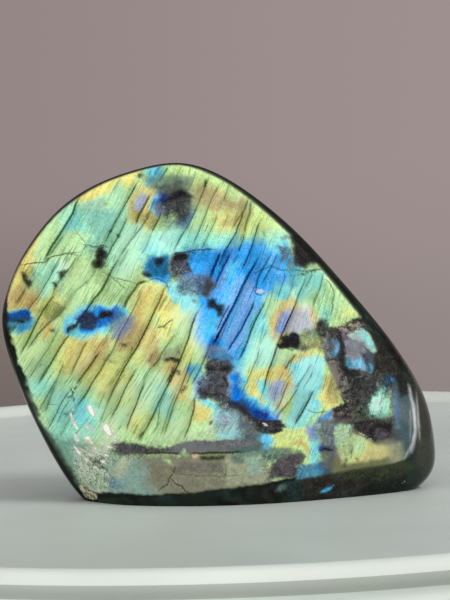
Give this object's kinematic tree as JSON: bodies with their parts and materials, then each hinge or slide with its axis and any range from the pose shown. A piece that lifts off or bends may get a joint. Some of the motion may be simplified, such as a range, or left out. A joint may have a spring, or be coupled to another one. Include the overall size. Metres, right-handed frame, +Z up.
{
  "type": "polished labradorite freeform",
  "caption": "Free-standing polished labradorite freeform with a domed iridescent face, a rolled rim, a rounded back and a sawn flat base.",
  "frame": {"origin": "middle of the stone's box, on the plane of the flat base", "axes": "+X along the stone's width, to the right as one looks at its face; +Y through its thickness, from the face to the back; +Z up"},
  "size_m": [0.1118, 0.0386, 0.0871],
  "materials": {
    "labradorite": "polished"
  },
  "bodies": {
    "root": {"labradorite_stone": "labradorite"}
  },
  "joints": []
}
